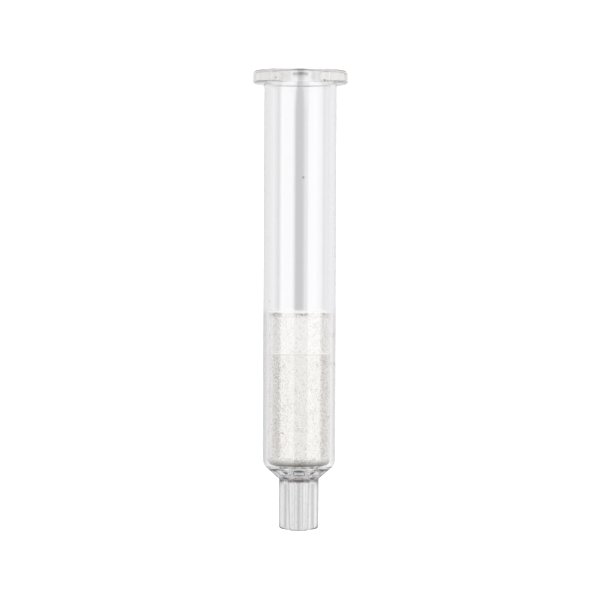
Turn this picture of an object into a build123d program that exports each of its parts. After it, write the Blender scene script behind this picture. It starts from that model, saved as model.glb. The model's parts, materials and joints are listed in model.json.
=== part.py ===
from build123d import *
import os
from math import asin, atan2, cos, degrees, hypot, radians, sin, sqrt, tan

# A 6 mL solid-phase extraction cartridge, in millimetres: one clear moulded barrel, two porous
# frits and, between them, two packed layers of granular sorbent.
# It is built upright on the Z axis, with the nozzle's end at z = 0, and is then laid down.

# Barrel
barrel_d = 15.0  # outside of the barrel
mouth_d = 13.2  # parallel stretch at the mouth, where an adapter or a plunger enters
mouth_depth = 14.0  # length of that stretch and its lead-in
mouth_lead = 0.5  # 45 degree lead-in at the mouth
bore_foot_d = 13.0  # bore at its foot: the core draws out of a bore that widens upwards
barrel_length = 94.9  # nozzle's end to the top of the flange

# Finger flange, round with two flats
flange_d = 19.7
flange_across_flats = 15.9
flange_t = 2.7
flange_corner_r = 0.8  # upright corners between the flats and the round rim
flange_edge_r = 0.6  # rounded upper and lower edges

# Conical end
cone_half_angle = 50.6  # between the cone's wall and the barrel's axis
shoulder_r = 2.9  # outer radius from the barrel into the cone
cone_wall = 1.0  # the same round the shoulder and down the cone
floor_t = 0.8  # flat floor of the drain, over the hollow skirt
pad_count = 8
pad_w = 2.0
pad_length = 1.2  # along the cone's slope
pad_h = 0.3  # off the cone's wall
pad_middle_r = 4.37  # from the axis

# Skirt
skirt_d = 8.2
skirt_length = 10.4
skirt_bore_d = 6.6
skirt_edge_r = 0.7
skirt_floor_r = 0.15  # corner between the skirt's bore and its floor

# Male Luer nozzle inside the skirt
nozzle_end_d = 3.95
nozzle_taper = 0.06  # growth in diameter for each unit of length
nozzle_edge_r = 0.25
nozzle_proud = 0.4  # how far the nozzle stands past the skirt's rim
outlet_d = 2.0

# What the barrel holds
contents_gap = 0.05  # between the bore's wall and each frit or layer
lower_frit_t = 2.25  # at its middle
lower_frit_edge_r = 1.0  # rounded lower edge, which rests in the barrel's rounded corner
lower_frit_crown_r = 30.0  # its underside bulges towards the outlet
lower_frit_lift = 0.01  # off the corner, so that the two surfaces only just clear
lower_layer_h = 21.2
upper_layer_h = 7.6
upper_frit_t = 1.2

# Heights and radii that follow from the sizes above
barrel_r = barrel_d / 2
skirt_r = skirt_d / 2
cone_slope = tan(radians(cone_half_angle))
skirt_rim_z = nozzle_proud
skirt_top_z = skirt_rim_z + skirt_length
cone_top_z = skirt_top_z + (barrel_r - skirt_r) / cone_slope
shoulder_centre_r = barrel_r - shoulder_r
shoulder_centre_z = cone_top_z + shoulder_r * tan(radians(cone_half_angle / 2))
flange_z = barrel_length - flange_t
mouth_floor_z = barrel_length - mouth_depth
wall_rise = cone_wall / sin(radians(cone_half_angle))
bore_foot_z = cone_top_z + wall_rise - (barrel_r - bore_foot_d / 2) / cone_slope
bore_draft = (mouth_d - bore_foot_d) / 2 / (mouth_floor_z - bore_foot_z)
corner_r = shoulder_r - cone_wall
drain_floor_z = skirt_top_z + floor_t
drain_floor_r = bore_foot_d / 2 - (bore_foot_z - drain_floor_z) * cone_slope

# Heights of what the barrel holds, from the bottom up
frit_rim_r = bore_foot_d / 2 - contents_gap
frit_edge_centre_r = frit_rim_r - lower_frit_edge_r
frit_edge_drop = sqrt((corner_r - lower_frit_edge_r) ** 2 - (frit_edge_centre_r - shoulder_centre_r) ** 2)
frit_edge_centre_z = shoulder_centre_z - frit_edge_drop + lower_frit_lift
crown_depth = lower_frit_crown_r - sqrt(
    (lower_frit_crown_r - lower_frit_edge_r) ** 2 - frit_edge_centre_r**2
)
lower_frit_z = frit_edge_centre_z - crown_depth
lower_layer_z = lower_frit_z + lower_frit_t
upper_layer_z = lower_layer_z + lower_layer_h
upper_frit_z = upper_layer_z + upper_layer_h


def bore_radius(z):
    """The bore's radius between its foot and the parallel mouth."""
    return bore_foot_d / 2 + bore_draft * (z - bore_foot_z)


def turned(points):
    """A solid of revolution from a closed half-section of (radius, height) points."""
    return revolve(Plane.XZ * make_face(Polyline(*points, close=True)), Axis.Z)


def barrel_blank():
    """The outside of the barrel, cone and skirt, turned about the axis."""
    section = make_face(
        Polyline(
            (0, skirt_rim_z),
            (skirt_r, skirt_rim_z),
            (skirt_r, skirt_top_z),
            (barrel_r, cone_top_z),
            (barrel_r, flange_z),
            (0, flange_z),
            close=True,
        )
    )
    rim = section.vertices().sort_by_distance((skirt_r, skirt_rim_z))[0]
    section = fillet(rim, skirt_edge_r)
    shoulder = section.vertices().sort_by_distance((barrel_r, cone_top_z))[0]
    section = fillet(shoulder, shoulder_r)
    return revolve(Plane.XZ * section, Axis.Z)


def finger_flange():
    """A disc with a flat in front and behind, and rounded all round."""
    outline = Circle(flange_d / 2) & Rectangle(flange_d, flange_across_flats)
    outline = fillet(outline.vertices(), flange_corner_r)
    disc = extrude(Pos(0, 0, flange_z) * outline, flange_t)
    rims = disc.faces().filter_by(Axis.Z).edges()
    return fillet(rims, flange_edge_r)


def drain_pads():
    """Low blocks that lie along the cone's slope, half of each sunk into the wall."""
    middle_z = drain_floor_z + (pad_middle_r - drain_floor_r) / cone_slope
    slope = Rot(0, cone_half_angle - 90, 0)
    pad = Pos(pad_middle_r, 0, middle_z) * slope * Box(pad_length, pad_w, 2 * pad_h)
    return [Rot(0, 0, 90 + place * 360 / pad_count) * pad for place in range(pad_count)]


def core():
    """The mould's core: mouth, drafted bore with a rounded foot, and cone, notched for the pads."""
    section = make_face(
        Polyline(
            (0, drain_floor_z),
            (drain_floor_r, drain_floor_z),
            (bore_foot_d / 2, bore_foot_z),
            (mouth_d / 2, mouth_floor_z),
            (mouth_d / 2, barrel_length - mouth_lead),
            (mouth_d / 2 + mouth_lead, barrel_length),
            (0, barrel_length),
            close=True,
        )
    )
    foot = section.vertices().sort_by_distance((bore_foot_d / 2, bore_foot_z))[0]
    pin = revolve(Plane.XZ * fillet(foot, corner_r), Axis.Z)
    return pin - drain_pads()


def skirt_bore():
    """The hollow of the skirt, up to the floor of the drain, with a rounded corner."""
    bore = Pos(0, 0, skirt_rim_z) * Cylinder(
        skirt_bore_d / 2, skirt_length, align=(Align.CENTER, Align.CENTER, Align.MIN)
    )
    return fillet(bore.edges().sort_by(Axis.Z)[-1], skirt_floor_r)


def nozzle():
    """The tapered nozzle, from its rounded end to the floor of the skirt's bore."""
    length = nozzle_proud + skirt_length
    root_r = (nozzle_end_d + nozzle_taper * length) / 2
    section = make_face(
        Polyline((0, 0), (nozzle_end_d / 2, 0), (root_r, length), (0, length), close=True)
    )
    end = section.vertices().sort_by_distance((nozzle_end_d / 2, 0))[0]
    return revolve(Plane.XZ * fillet(end, nozzle_edge_r), Axis.Z)


def barrel():
    """The whole moulding: blank and flange, less its hollows, with the nozzle inside the skirt."""
    body = barrel_blank() + finger_flange()
    body -= skirt_bore()
    body += nozzle()
    body -= Cylinder(outlet_d / 2, drain_floor_z, align=(Align.CENTER, Align.CENTER, Align.MIN))
    return body - core()


def crown_height(radius):
    """Height of the lower frit's crowned underside at a radius from the axis."""
    drop = sqrt(lower_frit_crown_r**2 - radius**2)
    return lower_frit_z + lower_frit_crown_r - drop


def lower_frit():
    """A disc with a crowned underside and a rounded lower edge, flat on top."""
    top_r = bore_radius(lower_layer_z) - contents_gap
    start, middle, rim = [(radius, crown_height(radius)) for radius in (0, frit_rim_r / 2, frit_rim_r)]
    outline = [
        ThreePointArc(start, middle, rim),
        Polyline(rim, (top_r, lower_layer_z), (0, lower_layer_z), start),
    ]
    section = make_face(outline)
    edge = section.vertices().sort_by_distance(rim)[0]
    return revolve(Plane.XZ * fillet(edge, lower_frit_edge_r), Axis.Z)


def packed(bottom_z, height):
    """A frit or a layer that fills the drafted bore between two heights, less the gap."""
    top_z = bottom_z + height
    return turned(
        [
            (0, bottom_z),
            (bore_radius(bottom_z) - contents_gap, bottom_z),
            (bore_radius(top_z) - contents_gap, top_z),
            (0, top_z),
        ]
    )


def lying():
    """Where the cartridge comes to rest: on a flange flat and on the end of the barrel.

    The floor touches two round edges, the shoulder and the flat's lower edge, so its slope is
    the common tangent's. The axis then points along +Y, and the origin is under the middle.
    """
    run = flange_z + flange_edge_r - shoulder_centre_z
    rise = flange_across_flats / 2 - flange_edge_r - shoulder_centre_r
    slope = atan2(rise, run) - asin((shoulder_r - flange_edge_r) / hypot(rise, run))
    axis_z = shoulder_r + shoulder_centre_r * cos(slope) - shoulder_centre_z * sin(slope)
    return Pos(0, 0, axis_z) * Rot(degrees(slope) - 90, 0, 0)


nodes = {
    "barrel": barrel(),
    "lower_frit": lower_frit(),
    "lower_sorbent": packed(lower_layer_z, lower_layer_h),
    "upper_sorbent": packed(upper_layer_z, upper_layer_h),
    "upper_frit": packed(upper_frit_z, upper_frit_t),
}

rest = lying()
length_box = (rest * nodes["barrel"]).bounding_box()
placed = Pos(0, -length_box.center().Y, 0) * rest

os.makedirs("parts", exist_ok=True)
for name, solid in nodes.items():
    export_step(placed * solid, f"parts/{name}.step")
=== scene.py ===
import bpy
import json
import numpy as np
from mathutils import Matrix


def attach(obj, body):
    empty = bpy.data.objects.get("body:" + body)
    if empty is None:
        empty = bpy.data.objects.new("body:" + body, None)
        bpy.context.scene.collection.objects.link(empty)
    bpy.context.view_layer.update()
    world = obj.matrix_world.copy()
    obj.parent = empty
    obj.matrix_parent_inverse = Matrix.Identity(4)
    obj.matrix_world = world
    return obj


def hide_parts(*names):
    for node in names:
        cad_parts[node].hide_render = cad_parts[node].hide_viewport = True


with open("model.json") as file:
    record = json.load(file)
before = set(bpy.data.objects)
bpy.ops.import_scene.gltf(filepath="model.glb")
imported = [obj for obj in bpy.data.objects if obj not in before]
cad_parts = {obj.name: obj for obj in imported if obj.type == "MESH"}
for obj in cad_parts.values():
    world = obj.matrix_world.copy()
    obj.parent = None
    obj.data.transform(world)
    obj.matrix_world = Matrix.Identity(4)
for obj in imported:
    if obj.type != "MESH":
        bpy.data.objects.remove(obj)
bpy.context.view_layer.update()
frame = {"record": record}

# The barrel: one injection-moulded tube of clear polypropylene with a two-flatted finger flange
# at the mouth, and a conical end that runs into a hollow skirt round a Luer nozzle. Eight low
# pads on the inside of the cone keep the drain open under the lower frit.
barrel_r, barrel_length = 7.5, 94.9
mouth_r, mouth_depth, mouth_lead, foot_r = 6.6, 14.0, 0.5, 6.5
flange_r, flange_flat, flange_t, flange_corner, flange_edge = 9.85, 7.95, 2.7, 0.8, 0.6
cone_angle, cone_wall, shoulder_r, floor_t = 50.6, 1.0, 2.9, 0.8
pad_count, pad_half_w, pad_rise, pad_inner_r, pad_outer_r = 8, 1.0, 0.39, 3.84, 4.8
skirt_r, skirt_bore_r, skirt_edge, skirt_corner = 4.1, 3.3, 0.7, 0.15
skirt_rim_z, skirt_top_z = 0.4, 10.8
nozzle_r, nozzle_taper, nozzle_edge, outlet_r = 1.975, 0.03, 0.25, 1.0
cone_slope = np.tan(np.radians(cone_angle))
cone_top_z = skirt_top_z + (barrel_r - skirt_r) / cone_slope
shoulder_z = cone_top_z + shoulder_r * np.tan(np.radians(cone_angle / 2))
foot_z = cone_top_z + cone_wall / np.sin(np.radians(cone_angle)) - (barrel_r - foot_r) / cone_slope
floor_z = skirt_top_z + floor_t
floor_r = foot_r - (foot_z - floor_z) * cone_slope
corner_r, corner_centre_r = shoulder_r - cone_wall, barrel_r - shoulder_r
flange_z, mouth_floor_z = barrel_length - flange_t, barrel_length - mouth_depth

mounts = {mount["name"]: mount for mount in frame["record"]["mounts"]}
nozzle_end = np.array(mounts["outlet"]["pos_m"])
along = np.array(mounts["mouth"]["axis"])
across = np.array([1.0, 0.0, 0.0])
upward = np.cross(across, along)


def laid(radius, turn, height):
    """Points in the row frame, in metres, from millimetres about the cartridge's own axis: the
    nozzle's end, plus height along the axis, plus radius at an angle that starts at the top."""
    return nozzle_end + 0.001 * (
        (radius * np.sin(turn))[..., None] * across
        + (radius * np.cos(turn))[..., None] * upward
        + (height + 0 * radius)[..., None] * along
    )


def bend(centre_r, centre_z, radius, start, stop, steps):
    """Part of a circle in the half-section: centre plus radius at evenly spaced angles, where
    0 points away from the axis and 90 points to the mouth."""
    angle = np.radians(np.linspace(start, stop, steps))
    return np.stack([centre_r + radius * np.cos(angle), centre_z + radius * np.sin(angle)], 1)


def straight(start, stop, steps):
    """Evenly spaced points from one end of a straight run to the other."""
    return np.linspace(start, stop, steps)


def flange_outline(turn, inset):
    """Radius of the flange's outline, moved inwards by inset: the flat's distance over the cosine,
    then the corner's circle where the ray meets it, then the round rim."""
    corner_up = flange_flat - flange_corner
    corner_out = np.sqrt((flange_r - flange_corner) ** 2 - corner_up**2)
    side = np.abs(np.sin(turn))
    up = np.abs(np.cos(turn))
    toward = side * corner_out + up * corner_up
    reach = toward**2 - corner_out**2 - corner_up**2 + (flange_corner - inset) ** 2
    corner = toward + np.sqrt(np.maximum(reach, 0))
    flat = (flange_flat - inset) / np.maximum(up, 0.1)
    radius = np.where(side * corner_up > up * corner_out, flange_r - inset, corner)
    return np.where(side * (flange_flat - inset) < up * corner_out, flat, radius)


def drain(radius, turn):
    """Height of the drain's inside: the cone or the flat floor, whichever is higher, and over each
    pad a flat top that stands off the cone, with narrow sloping sides and ends."""
    pitch, slope_w = 2 * np.pi / pad_count, 0.06
    off = (turn + pitch / 2) % pitch - pitch / 2
    out = radius * np.cos(off)
    beside = np.clip((pad_half_w + slope_w / 2 - np.abs(radius * np.sin(off))) / slope_w, 0, 1)
    inner = np.clip((out - pad_inner_r) / slope_w, 0, 1)
    outer = np.clip((pad_outer_r - out) / slope_w, 0, 1)
    floor = np.maximum(foot_z - (foot_r - radius) / cone_slope, floor_z)
    top = foot_z - (foot_r - out) / cone_slope + pad_rise
    return floor + np.maximum(top - floor, 0) * beside * inner * outer


def surface(name, points, closed):
    """A mesh from a grid of points, rows by angles round the axis: quads between neighbours, and
    either a last row that joins the first or a pole at each end."""
    rows, turns = points.shape[:2]
    row = np.arange(rows if closed else rows - 1)[:, None]
    turn = np.arange(turns)[None, :]
    near, far = row * turns, (row + 1) % rows * turns
    quads = np.stack([near + turn, near + (turn + 1) % turns, far + (turn + 1) % turns, far + turn], -1)
    corners = points.reshape(-1, 3)
    faces = quads.reshape(-1, 4).tolist()
    if not closed:
        corners = np.concatenate([corners, points[:1].mean(1), points[-1:].mean(1)])
        ring, last = np.arange(turns), (rows - 1) * turns
        first_fan = np.stack([np.full(turns, rows * turns), (ring + 1) % turns, ring], 1)
        last_fan = np.stack([np.full(turns, rows * turns + 1), last + ring, last + (ring + 1) % turns], 1)
        faces += first_fan.tolist() + last_fan.tolist()
    mesh = bpy.data.meshes.new(name)
    mesh.from_pydata(corners.tolist(), [], faces)
    mesh.shade_smooth()
    mesh.set_sharp_from_angle(angle=np.radians(38))
    piece = bpy.data.objects.new(name, mesh)
    bpy.context.scene.collection.objects.link(piece)
    return piece


nozzle_root_r = nozzle_r + nozzle_taper * skirt_top_z
skirt_inside = np.concatenate([
    straight((outlet_r, floor_z), (outlet_r, 0.12), 5),
    straight((outlet_r + 0.12, 0), (nozzle_r - nozzle_edge, 0), 2),
    bend(nozzle_r - nozzle_edge, nozzle_edge, nozzle_edge, -90, 0, 6)[1:],
    straight((nozzle_r + 0.02, 0.7), (nozzle_root_r, skirt_top_z - 0.05), 4),
    straight((nozzle_root_r + 0.05, skirt_top_z), (skirt_bore_r - skirt_corner, skirt_top_z), 2),
    bend(skirt_bore_r - skirt_corner, skirt_top_z - skirt_corner, skirt_corner, 90, 0, 5)[1:],
    straight((skirt_bore_r, skirt_top_z - 0.8), (skirt_bore_r, skirt_rim_z + 0.06), 4),
])
outside = np.concatenate([
    straight((skirt_bore_r + 0.02, skirt_rim_z), (skirt_r - skirt_edge, skirt_rim_z), 2),
    bend(skirt_r - skirt_edge, skirt_rim_z + skirt_edge, skirt_edge, -90, 0, 8)[1:],
    straight((skirt_r, 1.6), (skirt_r, skirt_top_z - 0.06), 5),
    straight((skirt_r + 0.04, skirt_top_z), (skirt_r + 0.25, skirt_top_z + 0.21 / cone_slope), 2),
    bend(corner_centre_r, shoulder_z, shoulder_r, -(90 - cone_angle), 0, 16),
    straight((barrel_r, 16.0), (barrel_r, flange_z), 14),
])
flange_rim = np.concatenate([
    bend(-flange_edge, flange_z + flange_edge, flange_edge, -90, 0, 7),
    bend(-flange_edge, barrel_length - flange_edge, flange_edge, 0, 90, 7),
])
inside = np.concatenate([
    straight((mouth_r + mouth_lead, barrel_length), (mouth_r, barrel_length - mouth_lead), 2),
    straight((mouth_r, barrel_length - 0.8), (mouth_r, mouth_floor_z), 5),
    straight((mouth_r - 0.01, 75.0), (foot_r + 0.004, shoulder_z + 1.0), 10),
    bend(corner_centre_r, shoulder_z, corner_r, 0, cone_angle - 90, 12),
])
drain_r = np.concatenate([np.linspace(5.7, floor_r + 0.04, 46), [floor_r, 2.6, 1.8, 1.06]])[:, None]

barrel_turns = 560
turn = np.linspace(0, 2 * np.pi, barrel_turns, endpoint=False)[None, :]
rim_r = np.maximum(flange_outline(turn, -flange_rim[:, :1]), barrel_r)
turned_r = [rows[:, :1] + 0 * turn for rows in (skirt_inside, outside)]
turned_z = [rows[:, 1:] + 0 * turn for rows in (skirt_inside, outside, flange_rim, inside)]
barrel_rows_r = np.concatenate([*turned_r, rim_r, inside[:, :1] + 0 * turn, drain_r + 0 * turn])
barrel_rows_z = np.concatenate([*turned_z, drain(drain_r, turn)])
barrel = surface("barrel_moulding", laid(barrel_rows_r, turn, barrel_rows_z), True)


def shader(name, **values):
    """A new material with its Principled shader and any plain values put on its sockets."""
    material = bpy.data.materials.new(name)
    material.use_nodes = True
    principled = material.node_tree.nodes["Principled BSDF"]
    for socket, value in values.items():
        principled.inputs[socket.replace("_", " ")].default_value = value
    return material, material.node_tree, principled


def calc(tree, operation, *values):
    """A value worked out by one operation from others, each a socket or a plain number."""
    step = tree.nodes.new("ShaderNodeMath")
    step.operation = operation
    for place, value in enumerate(values):
        if isinstance(value, (int, float)):
            step.inputs[place].default_value = value
        else:
            tree.links.new(value, step.inputs[place])
    return step.outputs[0]


def ranged(tree, value, start, stop, low=0.0, high=1.0, smooth=False):
    """A value carried to another range: low, plus the share of the way from start to stop, held
    between 0 and 1, times the way from low to high. Smooth eases it in and out."""
    run = tree.nodes.new("ShaderNodeMapRange")
    run.interpolation_type = "SMOOTHSTEP" if smooth else "LINEAR"
    for name, number in (("From Min", start), ("From Max", stop), ("To Min", low), ("To Max", high)):
        run.inputs[name].default_value = number
    tree.links.new(value, run.inputs["Value"])
    return run.outputs[0]


def place_on(tree, axis=None):
    """Where a point lies on its piece, in metres, or that place along one axis alone."""
    place = tree.nodes.new("ShaderNodeTexCoord").outputs["Object"]
    if axis is None:
        return place
    split = tree.nodes.new("ShaderNodeSeparateXYZ")
    tree.links.new(place, split.inputs[0])
    return split.outputs[axis]


def axis_height(tree, low, high):
    """A value that runs from 0 to 1 between two heights along the cartridge's axis, in mm: the
    place times the axis' direction, less the same product at the nozzle's end."""
    height = tree.nodes.new("ShaderNodeVectorMath")
    height.operation = "DOT_PRODUCT"
    height.inputs[1].default_value = tuple(along)
    tree.links.new(place_on(tree), height.inputs[0])
    foot = nozzle_end @ along
    return ranged(tree, height.outputs["Value"], foot + 0.001 * low, foot + 0.001 * high)


def grey_ramp(tree, value, stops):
    """A ramp of greys that a value from 0 to 1 picks, from stops of place and grey."""
    ramp = tree.nodes.new("ShaderNodeValToRGB")
    marks = ramp.color_ramp.elements
    marks[0].position, marks[1].position = stops[0][0], stops[-1][0]
    for position, grey in stops[1:-1]:
        marks.new(position)
    for mark, (position, grey) in zip(marks, stops):
        mark.color = (grey, grey, grey, 1)
    tree.links.new(value, ramp.inputs["Fac"])
    return ramp.outputs["Color"]


def tinted(tree, factor, under, over):
    """A colour that another covers by a factor. Each is plain or comes from a socket."""
    cover = tree.nodes.new("ShaderNodeMix")
    cover.data_type = "RGBA"
    tree.links.new(factor, cover.inputs["Factor"])
    for name, colour in (("A", under), ("B", over)):
        if isinstance(colour, tuple):
            cover.inputs[name].default_value = (*colour, 1)
        else:
            tree.links.new(colour, cover.inputs[name])
    return cover.outputs["Result"]


def mixed(tree, factor, first, second):
    """The first shader where the factor is 0, and the second where it is 1."""
    mix = tree.nodes.new("ShaderNodeMixShader")
    for place, socket in enumerate((factor, first, second)):
        tree.links.new(socket, mix.inputs[place])
    return mix.outputs[0]


natural, grime = (0.988, 0.988, 0.991), (0.03, 0.03, 0.03)
clear, tree, plastic = shader(
    "clear_moulded_polypropylene", Base_Color=(*natural, 1), Roughness=0.05, IOR=1.49,
    Transmission_Weight=1.0,
)
path = tree.nodes.new("ShaderNodeLightPath")
open_to_lamps = tree.nodes.new("ShaderNodeBsdfTransparent")
open_to_lamps.inputs["Color"].default_value = (0.96, 0.96, 0.96, 1)
shown = plastic.outputs[0]
for ray in ("Is Shadow Ray", "Is Diffuse Ray"):
    shown = mixed(tree, path.outputs[ray], shown, open_to_lamps.outputs[0])
tree.links.new(shown, tree.nodes["Material Output"].inputs["Surface"])


def along_barrel(stops):
    """A shade that changes along the barrel, from stops of millimetres and shade."""
    height = axis_height(tree, 0, barrel_length)
    return grey_ramp(tree, height, [(height_mm / barrel_length, shade) for height_mm, shade in stops])


def from_axis(stops):
    """A shade that changes to both sides of the axis, from stops of millimetres and shade."""
    widest_mm = 10
    out = ranged(tree, calc(tree, "ABSOLUTE", place_on(tree, "X")), 0, 0.001 * widest_mm)
    return grey_ramp(tree, out, [(out_mm / widest_mm, shade) for out_mm, shade in stops])


roughness = along_barrel([
    (0, 0.14), (9.8, 0.14), (10.5, 0.2), (11.0, 0.2), (11.2, 0.04), (90, 0.05), (92.1, 0.05),
    (92.25, 0.22), (92.8, 0.22), (92.95, 0.05), (94.2, 0.05), (94.45, 0.35), (94.9, 0.35),
])
tree.links.new(roughness, plastic.inputs["Roughness"])
haze = tree.nodes.new("ShaderNodeVolumeAbsorption")
haze.inputs["Color"].default_value = (0.76, 0.75, 0.64, 1)
haze.inputs["Density"].default_value = 20
tree.links.new(haze.outputs[0], tree.nodes["Material Output"].inputs["Volume"])

# Specks in the plastic, each by its distance from the axis, its height and its size.
specks = [
    (0.65, 72.7, 0.17), (-6.2, 47.4, 0.13), (7.15, 34.6, 0.26), (6.85, 40.2, 0.14), (7.0, 40.45, 0.14),
    (7.12, 40.7, 0.14), (-5.03, 93.0, 0.15), (4.9, 92.5, 0.18), (-3.3, 20.5, 0.12),
]
colour = natural
for out_mm, height_mm, size_mm in specks:
    up_mm = flange_flat if height_mm > flange_z else np.sqrt(barrel_r**2 - out_mm**2)
    spot = laid(np.array(np.hypot(out_mm, up_mm)), np.arctan2(out_mm, up_mm), np.array(height_mm))
    away = tree.nodes.new("ShaderNodeVectorMath")
    away.operation = "DISTANCE"
    away.inputs[1].default_value = tuple(spot)
    tree.links.new(place_on(tree), away.inputs[0])
    near = ranged(tree, away.outputs["Value"], 0.0013 * size_mm, 0.0007 * size_mm)
    colour = tinted(tree, near, colour, grime)

# Painted shade in the plastic's colour: a dark arc over the drain's floor, a dark patch in the flange's
# flat and two pairs of lines down the skirt. The flange's rim and its two ends are tinted darker and
# yellower where the plastic is thick.
down_skirt = [(0.5, 0), (1.0, 1), (10.2, 1), (10.5, 0)]
painted_shades_and_tints = [
    ([(10.4, 0), (10.6, 1), (11.1, 1), (11.5, 0)], [(0, 1), (2.0, 1), (2.6, 0)], (0.46, 0.43, 0.46)),
    ([(93.35, 0), (93.55, 1), (93.95, 1), (94.15, 0)], [(0, 1), (1.4, 1), (1.7, 0)], (0.55, 0.55, 0.55)),
    ([(94.2, 0), (94.6, 1), (94.9, 1)], [(0, 0), (4.5, 0), (6.5, 1), (10, 1)], (0.92, 0.915, 0.84)),
    ([(92.2, 0), (92.5, 1), (94.9, 1)], [(0, 0), (9.0, 0), (9.5, 1), (10, 1)], (0.92, 0.92, 0.89)),
    (down_skirt, [(0, 0), (1.5, 0), (1.75, 1), (1.95, 1), (2.15, 0)], (0.92, 0.92, 0.92)),
    (down_skirt, [(0, 0), (2.6, 0), (2.8, 1), (3.0, 1), (3.2, 0)], (0.965, 0.965, 0.965)),
]
for heights, widths, shade in painted_shades_and_tints:
    mask = calc(tree, "MULTIPLY", along_barrel(heights), from_axis(widths))
    colour = tinted(tree, mask, colour, shade)
tree.links.new(colour, plastic.inputs["Base Color"])
barrel.data.materials.append(clear)
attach(barrel, "root")
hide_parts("barrel")

# The lower frit: a disc of sintered polyethylene with a crowned underside and a rounded edge,
# pressed down into the barrel's rounded corner. It holds the sorbent and lets the liquid through.
contents_gap = 0.05
frit_t, frit_edge, frit_crown = 2.25, 1.0, 30.0


def core_radius(height):
    """The bore's radius between its foot and the mouth's parallel stretch, less the gap that
    each frit and layer leaves."""
    return foot_r - contents_gap + (mouth_r - foot_r) * (height - foot_z) / (mouth_floor_z - foot_z)


def plug(name, half, relief, seed):
    """A plug turned from a half-section, with a relief of seeded random waves that pushes it
    inwards all over: inwards from the side by radius, and from the ends by height."""
    plug_turns = 240
    turn = np.linspace(0, 2 * np.pi, plug_turns, endpoint=False)[None, :]
    radius, height = half[:, :1] + 0 * turn, half[:, 1:] + 0 * turn
    chance = np.random.default_rng(seed)
    wave = np.zeros_like(radius)
    for count in (5, 9, 16, 31, 47):
        phase = chance.uniform(0, 6.28, 3)
        wave += np.sin(count * turn + phase[0] + 1.3 * np.sin(height * 2.1 + phase[1])) * np.sin(
            height * count * 0.31 + radius * 1.7 + phase[2]
        )
    wave = relief * (wave / 5 - 1)
    bottom, top, eased = half[:, 1].min(), half[:, 1].max(), 0.2
    middle = (bottom + top) / 2
    near_end = (np.abs(height - middle) - (top - middle) + eased) / eased
    lift = np.sign(height - middle) * np.clip(near_end, 0, 1)
    return surface(name, laid(radius + wave, turn, height + lift * wave), False)


def filled(bottom, top, edge):
    """The half-section of a plug that fills the bore between two heights: flat ends, rounded
    edges and a side that keeps off the bore."""
    row_spacing, end_rings = 0.4, 12
    side = np.linspace(bottom + edge, top - edge, max(3, int((top - bottom) / row_spacing)))
    ends = np.linspace(0.3, 6.0, end_rings)
    return np.concatenate([
        np.stack([ends, np.full(end_rings, bottom)], 1),
        bend(core_radius(bottom) - edge, bottom + edge, edge, -90, 0, 4),
        np.stack([core_radius(side), side], 1)[1:-1],
        bend(core_radius(top) - edge, top - edge, edge, 0, 90, 4),
        np.stack([ends[::-1], np.full(end_rings, top)], 1),
    ])


frit_edge_r, frit_lift = foot_r - contents_gap - frit_edge, 0.01
frit_edge_drop = np.sqrt((corner_r - frit_edge) ** 2 - (frit_edge_r - corner_centre_r) ** 2)
frit_edge_z = shoulder_z - frit_edge_drop + frit_lift
frit_z = frit_edge_z - frit_crown + np.sqrt((frit_crown - frit_edge) ** 2 - frit_edge_r**2)
frit_top_z = frit_z + frit_t
crown_r = np.linspace(0.3, 5.2, 14)
crown = np.stack([crown_r, frit_z + frit_crown - np.sqrt(frit_crown**2 - crown_r**2)], 1)
crown_end = -np.degrees(np.arccos(frit_edge_r / (frit_crown - frit_edge)))
frit_upper = filled(frit_edge_z + 0.1, frit_top_z, 0.02)
frit_section = np.concatenate([
    crown,
    bend(frit_edge_r, frit_edge_z, frit_edge, crown_end, 0, 14),
    frit_upper[frit_upper[:, 1] > frit_edge_z + 0.2],
])
lower_frit = plug("lower_frit_disc", frit_section, 0.01, 3)


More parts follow.
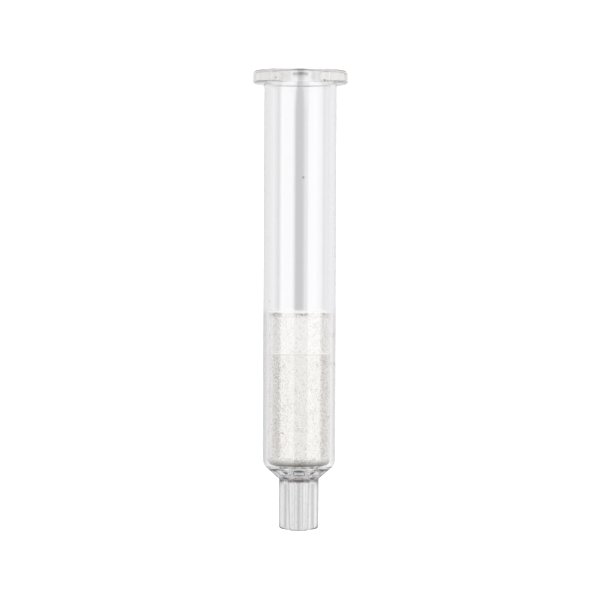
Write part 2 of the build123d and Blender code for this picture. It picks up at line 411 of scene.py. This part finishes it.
def grained():
    """The node group that every porous or granular filling shares. Cells of one size make the
    grains, a finer noise their faces and a slow one the packing. Two strips, to the left and right
    of the axis, carry painted shade: there the colour is darker and the speckle shows stronger."""
    group = bpy.data.node_groups.new("grains", "ShaderNodeTree")
    for name in ("Grain Scale", "Packing Scale", "Light", "Dark", "Depth", "Strips"):
        kind = "NodeSocketColor" if name in ("Light", "Dark") else "NodeSocketFloat"
        group.interface.new_socket(name=name, in_out="INPUT", socket_type=kind)
    group.interface.new_socket(name="Color", in_out="OUTPUT", socket_type="NodeSocketColor")
    group.interface.new_socket(name="Height", in_out="OUTPUT", socket_type="NodeSocketFloat")
    nodes, links = group.nodes, group.links
    given, out = nodes.new("NodeGroupInput"), nodes.new("NodeGroupOutput")
    cells = nodes.new("ShaderNodeTexVoronoi")
    faces = nodes.new("ShaderNodeTexNoise")
    packing = nodes.new("ShaderNodeTexNoise")
    faces.inputs["Detail"].default_value = 3
    packing.inputs["Detail"].default_value = 4
    for texture, scale in ((cells, "Grain Scale"), (faces, "Grain Scale"), (packing, "Packing Scale")):
        links.new(place_on(group), texture.inputs["Vector"])
        links.new(given.outputs[scale], texture.inputs["Scale"])
    gap = ranged(group, cells.outputs["Distance"], 0.4, 0.8)
    patchy = ranged(group, packing.outputs["Fac"], 0.35, 0.65, 0.8, 1.2)
    speckle = calc(group, "MULTIPLY", gap, patchy)
    # Painted shade: two strips beside the axis, where the colour darkens and the speckle shows stronger.
    strips_middle, bore = 0.00025, 0.0066
    aside = calc(group, "ABSOLUTE", calc(group, "SUBTRACT", place_on(group, "X"), strips_middle))
    strip = grey_ramp(group, ranged(group, aside, 0, bore), [
        (0.0, 0.0), (0.3, 0.0), (0.57, 0.12), (0.605, 0.5), (0.64, 0.95), (0.73, 1.0), (0.84, 0.1),
        (1.0, 0.0),
    ])
    strip = calc(group, "MULTIPLY", strip, given.outputs["Strips"])
    speckle_in_shade_strips = calc(group, "MULTIPLY", speckle, calc(group, "MULTIPLY_ADD", strip, 2.6, 1.0))
    speckle_and_painted_shade = calc(group, "MULTIPLY_ADD", strip, 0.3, speckle_in_shade_strips)
    amount = calc(group, "MULTIPLY", speckle_and_painted_shade, given.outputs["Depth"])
    colour = tinted(group, amount, given.outputs["Light"], given.outputs["Dark"])
    links.new(colour, out.inputs["Color"])
    relief = calc(group, "SUBTRACT", faces.outputs["Fac"], cells.outputs["Distance"])
    links.new(relief, out.inputs["Height"])
    return group


grains = grained()


def granular(name, grain_scale, packing_scale, light, dark, depth, bump, edges, strips=1.0):
    """A material of grains: the shared group feeds the colour and, through a bump, the normal.
    Each of the edges covers it with a plain colour from one height to another: painted shade
    and painted highlights along the plugs' ends."""
    material, tree, principled = shader(name, Roughness=0.85, IOR=1.45, Specular_IOR_Level=0.3)
    grain = tree.nodes.new("ShaderNodeGroup")
    grain.node_tree = grains
    for socket, value in (("Grain Scale", grain_scale), ("Packing Scale", packing_scale),
                          ("Light", (*light, 1)), ("Dark", (*dark, 1)), ("Depth", depth), ("Strips", strips)):
        grain.inputs[socket].default_value = value
    colour = grain.outputs["Color"]
    for start, stop, cover in edges:
        colour = tinted(tree, axis_height(tree, start, stop), colour, cover)
    relief = tree.nodes.new("ShaderNodeBump")
    relief.inputs["Strength"].default_value = 0.5
    relief.inputs["Distance"].default_value = bump
    tree.links.new(colour, principled.inputs["Base Color"])
    tree.links.new(grain.outputs["Height"], relief.inputs["Height"])
    tree.links.new(relief.outputs["Normal"], principled.inputs["Normal"])
    return material


# Painted shade: the frit turns dark brown from its side down over the rounded edge, and a lighter grey on the
# lowest part of its crown.
lower_frit.data.materials.append(
    granular(
        "sintered_lower_frit", 4400, 900, (0.95, 0.932, 0.914), (0.40, 0.375, 0.35), 0.75, 0.00006,
        [(15.15, 13.85, (0.145, 0.13, 0.113)), (13.78, 13.68, (0.35, 0.33, 0.31))], strips=0.0,
    )
)
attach(lower_frit, "root")
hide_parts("lower_frit")

# The lower layer: fine bonded silica, slightly cream, packed dry onto the lower frit. A thin
# greyer line is painted along its top, a painted shade where the two powders meet.
fine_h = 21.2
fine_top_z = frit_top_z + fine_h
fine = plug("fine_layer", filled(frit_top_z, fine_top_z, 0.02), 0.008, 5)
fine.data.materials.append(
    granular(
        "fine_bonded_silica", 5000, 700, (0.955, 0.938, 0.92), (0.54, 0.51, 0.48), 0.6, 0.00003,
        [(fine_top_z - 0.22, fine_top_z - 0.1, (0.78, 0.755, 0.73))],
    )
)
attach(fine, "root")
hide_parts("lower_sorbent")

# The upper layer: a coarser and whiter powder, poured on top of the fine one and tapped level.
# A thin white line is painted along its foot, a painted highlight where the two powders meet.
coarse_h = 7.6
coarse_top_z = fine_top_z + coarse_h
coarse = plug("coarse_layer", filled(fine_top_z, coarse_top_z, 0.02), 0.015, 7)
coarse.data.materials.append(
    granular(
        "coarse_powder", 4400, 500, (0.985, 0.97, 0.96), (0.66, 0.635, 0.61), 0.6, 0.00006,
        [(fine_top_z + 0.25, fine_top_z + 0.15, (1.0, 0.99, 0.985))],
    )
)
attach(coarse, "root")
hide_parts("upper_sorbent")

# The upper frit: a thinner disc of the same sintered polyethylene, pushed down onto the powder.
# Its upper edge has a painted highlight, over a broken row of painted shade patches.
upper_frit_t = 1.2
upper_frit_top_z = coarse_top_z + upper_frit_t
upper_frit = plug("upper_frit_disc", filled(coarse_top_z, upper_frit_top_z, 0.03), 0.01, 11)
pressed = granular(
    "sintered_upper_frit", 4400, 900, (0.985, 0.97, 0.96), (0.66, 0.635, 0.61), 0.6, 0.00006,
    [(upper_frit_top_z - 0.45, upper_frit_top_z - 0.2, (1.0, 1.0, 1.0))],
)
upper_frit.data.materials.append(pressed)
tree = pressed.node_tree
# Painted shade: dark mottled patches under the whiter top edge, at the left, the middle and the right.
painted_shade_patches = grey_ramp(tree, ranged(tree, place_on(tree, "X"), -0.0066, 0.0066), [
    (0.0, 0.0), (0.05, 0.1), (0.12, 0.9), (0.20, 0.5), (0.30, 0.05), (0.38, 0.05), (0.42, 0.6), (0.53, 0.9),
    (0.61, 0.6), (0.65, 0.05), (0.82, 0.05), (0.86, 0.7), (0.94, 0.4), (1.0, 0.0),
])
speck = tree.nodes.new("ShaderNodeTexNoise")
speck.inputs["Scale"].default_value = 2600
speck.inputs["Detail"].default_value = 2
tree.links.new(place_on(tree), speck.inputs["Vector"])
amount = painted_shade_patches
for factor in (ranged(tree, speck.outputs["Fac"], 0.4, 0.6),
               axis_height(tree, upper_frit_top_z - 0.25, upper_frit_top_z - 0.5),
               axis_height(tree, coarse_top_z - 0.05, coarse_top_z + 0.35)):
    amount = calc(tree, "MULTIPLY", amount, factor)
base = tree.nodes["Principled BSDF"].inputs["Base Color"]
tree.links.new(tinted(tree, amount, base.links[0].from_socket, (0.30, 0.28, 0.25)), base)
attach(upper_frit, "root")
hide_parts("upper_frit")

# The table: a sheet of pale matt paper that the cartridge lies on. It shows white, with the
# shadow kept. Through the clear plastic it shows a glow with painted shade: painted shadow lines
# under the barrel and the skirt, a painted shadow beside the bed with a painted bright patch
# under it, and a dimmer tone far along the sheet.
reach_mm = 16


def flat_sheet(name, corners, material):
    """One quad from four corners, in metres, as a piece of the stage."""
    mesh = bpy.data.meshes.new(name)
    mesh.from_pydata(corners, [], [(0, 1, 2, 3)])
    mesh.materials.append(material)
    sheet = bpy.data.objects.new(name, mesh)
    bpy.context.scene.collection.objects.link(sheet)
    return sheet


paper = bpy.data.materials.new("pale_paper")
paper.use_nodes = True
tree = paper.node_tree
tree.nodes.clear()
path = tree.nodes.new("ShaderNodeLightPath")
matt = tree.nodes.new("ShaderNodeBsdfDiffuse")
matt.inputs["Color"].default_value = (0.85, 0.85, 0.85, 1)
glow = tree.nodes.new("ShaderNodeEmission")
glow.inputs["Color"].default_value = (0.5, 0.5, 0.5, 1)
tree.links.new(path.outputs["Is Camera Ray"], glow.inputs["Strength"])
seen_through = tree.nodes.new("ShaderNodeEmission")
seen_through.inputs["Color"].default_value = (0.99, 0.985, 1.0, 1)


def across_shade(stops):
    """A shade that changes across the sheet, from stops of millimetres and shade."""
    run = ranged(tree, place_on(tree, "X"), -0.001 * reach_mm, 0.001 * reach_mm)
    return grey_ramp(tree, run, [((out_mm / reach_mm + 1) / 2, shade) for out_mm, shade in stops])


def along_sheet(start, stop, low, high):
    """A value that eases from low to high between two places along the sheet, in metres."""
    return ranged(tree, place_on(tree, "Y"), start, stop, low, high, smooth=True)


# Painted shadows on the paper, seen only through the plastic: lines under the barrel and the skirt, and the
# bed's shadow to each side with a painted bright patch under the bed.
barrel_shadow_lines = across_shade([
    (-16, 0.86), (-12, 0.81), (-9, 0.87), (-6.7, 0.91), (-5.95, 0.875), (-5.3, 0.82), (-4.8, 0.90),
    (-4.2, 0.95), (-2.2, 0.935), (-1.75, 0.94), (-1.3, 0.87), (-0.9, 0.70), (-0.4, 0.68), (0.5, 0.70),
    (0.95, 0.815), (1.4, 0.835), (1.9, 0.925), (2.6, 0.955), (4.5, 0.98), (5.4, 0.94), (6.1, 0.82),
    (6.9, 0.86), (7.9, 0.845), (9.5, 0.88), (12, 0.86), (16, 0.92),
])
skirt_shadow_lines = across_shade([
    (-16, 0.86), (-9, 0.86), (-6.2, 0.84), (-5.3, 0.48), (-4.3, 0.48), (-3.8, 0.86), (-2.5, 0.98),
    (-1.6, 0.82), (-0.9, 0.68), (0.4, 0.68), (1.2, 0.8), (2.5, 0.98), (3.6, 0.94), (4.2, 0.66),
    (5.2, 0.55), (5.9, 0.50), (7.0, 0.60), (8.5, 0.95), (16, 0.98),
])
bed_shadow_and_bright_patch = across_shade([
    (-16, 0.82), (-12, 0.70), (-8, 0.66), (-6.3, 1.25), (6.3, 1.25), (8, 0.735), (11.5, 0.755),
    (16, 0.92),
])
shade = tinted(tree, along_sheet(-0.0365, -0.0350, 0, 1), skirt_shadow_lines, bed_shadow_and_bright_patch)
shade = tinted(tree, along_sheet(-0.0030, -0.0015, 0, 1), shade, barrel_shadow_lines)
far = calc(tree, "MULTIPLY", along_sheet(-0.35, -0.10, 0.75, 1), along_sheet(0.10, 0.35, 1, 0.75))
tree.links.new(calc(tree, "MULTIPLY", shade, far), seen_through.inputs["Strength"])
lit = tree.nodes.new("ShaderNodeAddShader")
tree.links.new(matt.outputs[0], lit.inputs[0])
tree.links.new(glow.outputs[0], lit.inputs[1])
sheet_face = mixed(tree, path.outputs["Is Glossy Ray"], lit.outputs[0], seen_through.outputs[0])
tree.links.new(sheet_face, tree.nodes.new("ShaderNodeOutputMaterial").inputs["Surface"])
flat_sheet("paper", [(-3, -3, 0), (3, -3, 0), (3, 3, 0), (-3, 3, 0)], paper)


# The lamps: two long soft boxes, one each side of the camera, that leave a gap overhead. Each is
# an area lamp that lights, and a wider pale panel that shows in the clear plastic.
box_length, lamp_reach, panel_reach = 1.2, 0.7, 0.55


def facing(near, far, reach):
    """A long strip's centre, turn and half width when its two long edges lie at the near and far
    angles from straight up: reach away, and reach times the tangent of half the angle wide."""
    middle, half = np.radians((near + far) / 2), np.radians(abs(far - near) / 2)
    return reach * np.array([np.sin(middle), 0, np.cos(middle)]), middle, reach * np.tan(half)


def soft_box(name, lamp_edges, panel_edges, light, shine):
    """A lamp between one pair of angles and a panel between another, both of one length. The
    lamp's power is its light times pi times its area."""
    centre, middle, half = facing(*panel_edges, panel_reach)
    side = half * np.array([np.cos(middle), 0, -np.sin(middle)])
    end = np.array([0, box_length / 2, 0])
    corners = [centre - side - end, centre + side - end, centre + side + end, centre - side + end]
    lit = bpy.data.materials.new(name)
    lit.use_nodes = True
    tree = lit.node_tree
    tree.nodes.clear()
    lamp = tree.nodes.new("ShaderNodeEmission")
    lamp.inputs["Strength"].default_value = shine
    tree.links.new(lamp.outputs[0], tree.nodes.new("ShaderNodeOutputMaterial").inputs["Surface"])
    panel = flat_sheet(name + "_panel", [tuple(corner) for corner in corners], lit)
    panel.visible_camera = panel.visible_diffuse = panel.visible_shadow = False
    centre, middle, half = facing(*lamp_edges, lamp_reach)
    data = bpy.data.lights.new(name, "AREA")
    data.shape = "RECTANGLE"
    data.size, data.size_y = 2 * half, box_length
    data.energy = light * np.pi * data.size * data.size_y
    box = bpy.data.objects.new(name, data)
    box.location = centre
    box.rotation_euler = (0, middle, 0)
    box.visible_camera = box.visible_glossy = box.visible_transmission = False
    bpy.context.scene.collection.objects.link(box)


soft_box("left_soft_box", (0, -40), (-16.2, -65.5), 1.9, 1.35)
soft_box("right_soft_box", (2, 42), (26.5, 76.3), 2.0, 1.4)

# The room: white to the camera, a little fill light, and, in the clear plastic, dim overhead and
# towards the nozzle and paler low down and towards the flange.
world = bpy.data.worlds.new("room")
bpy.context.scene.world = world
world.use_nodes = True
tree = world.node_tree
tree.nodes.clear()
path = tree.nodes.new("ShaderNodeLightPath")
split = tree.nodes.new("ShaderNodeSeparateXYZ")
tree.links.new(tree.nodes.new("ShaderNodeTexCoord").outputs["Generated"], split.inputs[0])
height = ranged(tree, split.outputs["Z"], 0, 0.7, 0.4, 0.2, smooth=True)
ends = ranged(tree, split.outputs["Y"], -0.9, 0.9, 0.6, 2.2)
low_down = ranged(tree, split.outputs["Z"], 0, 0.3, 3.0, 0.05, smooth=True)
fill, shine, white = [tree.nodes.new("ShaderNodeBackground") for _ in range(3)]
for background in (fill, shine, white):
    background.inputs["Color"].default_value = (1, 1, 1, 1)
tree.links.new(low_down, fill.inputs["Strength"])
tree.links.new(calc(tree, "MULTIPLY", height, ends), shine.inputs["Strength"])
around = mixed(tree, path.outputs["Is Glossy Ray"], fill.outputs[0], shine.outputs[0])
around = mixed(tree, path.outputs["Is Camera Ray"], around, white.outputs[0])
tree.links.new(around, tree.nodes.new("ShaderNodeOutputWorld").inputs["Surface"])

# The camera: straight above the cartridge, with a long lens, turned a quarter of a degree so that
# the cartridge stands upright in the picture with the slight lean of a thing put down by hand.
camera = bpy.data.objects.new("camera", bpy.data.cameras.new("camera"))
camera.data.sensor_width = 36
camera.data.lens = 162.5
camera.location = (0.00009, 0.0002, 0.567)
camera.rotation_euler = (0, 0, np.radians(0.25))
bpy.context.scene.collection.objects.link(camera)
bpy.context.scene.camera = camera
bpy.context.scene.view_settings.view_transform = "Standard"
